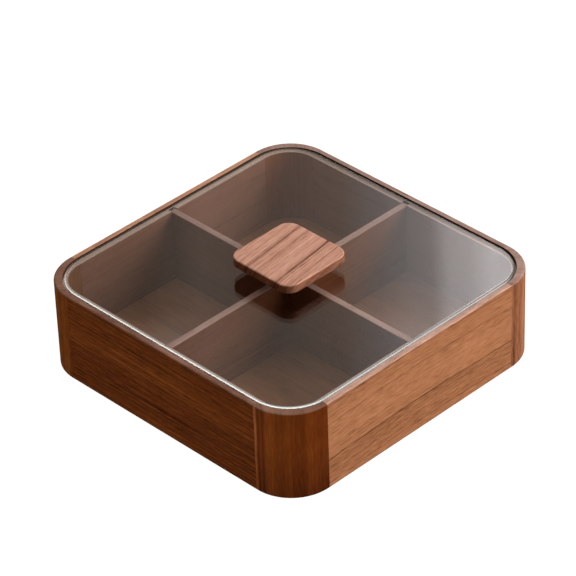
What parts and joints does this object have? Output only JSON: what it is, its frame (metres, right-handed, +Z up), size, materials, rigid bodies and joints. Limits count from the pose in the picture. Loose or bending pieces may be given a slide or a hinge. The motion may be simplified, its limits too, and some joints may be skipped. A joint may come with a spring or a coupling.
{
  "type": "dried fruit box",
  "caption": "Square wooden fruit box with rounded corner blocks, crossed lift-out slats and a flush glass lid with a wooden knob.",
  "frame": {"origin": "middle of the face that the box stands on", "axes": "+Z up, in the direction in which the lid and the slats lift; +X from the left board to the right board; -Y is the front"},
  "size_m": [0.25, 0.25, 0.0846],
  "materials": {
    "walnut_wall": "satin oil on walnut, grain along the board",
    "walnut_corner": "satin oil on walnut, grain upright",
    "walnut_floor": "satin oil on walnut",
    "walnut_slat": "sanded walnut, thin oil",
    "walnut_knob": "satin oil on figured walnut",
    "clear_glass": "polished toughened glass with a rounded edge",
    "silicone": "matte translucent silicone",
    "steel": "satin stainless steel",
    "brass": "plain machined brass"
  },
  "bodies": {
    "box": {"front_board": "walnut_wall", "right_board": "walnut_wall", "back_board": "walnut_wall", "left_board": "walnut_wall", "corner_front_right": "walnut_corner", "corner_back_right": "walnut_corner", "corner_back_left": "walnut_corner", "corner_front_left": "walnut_corner", "tongue_front_board_first_end": "walnut_wall", "tongue_front_board_second_end": "walnut_wall", "tongue_right_board_first_end": "walnut_wall", "tongue_right_board_second_end": "walnut_wall", "tongue_back_board_first_end": "walnut_wall", "tongue_back_board_second_end": "walnut_wall", "tongue_left_board_first_end": "walnut_wall", "tongue_left_board_second_end": "walnut_wall", "floor_panel": "walnut_floor"},
    "lower_slat": {"lower_slat": "walnut_slat"},
    "upper_slat": {"upper_slat": "walnut_slat"},
    "lid": {"glass_lid": "clear_glass", "knob_plate": "walnut_knob", "knob_stem": "walnut_knob", "threaded_insert": "brass", "upper_washer": "silicone", "lower_washer": "silicone", "knob_screw": "steel"}
  },
  "joints": [
    {"name": "lower_slat_lift", "type": "slide", "parent": "box", "child": "lower_slat", "axis": [0, 0, 1], "range_m": [0, 0.065]},
    {"name": "upper_slat_lift", "type": "slide", "parent": "lower_slat", "child": "upper_slat", "axis": [0, 0, 1], "range_m": [0, 0.065]},
    {"name": "lid_lift", "type": "slide", "parent": "upper_slat", "child": "lid", "axis": [0, 0, 1], "range_m": [0, 0.08]}
  ]
}
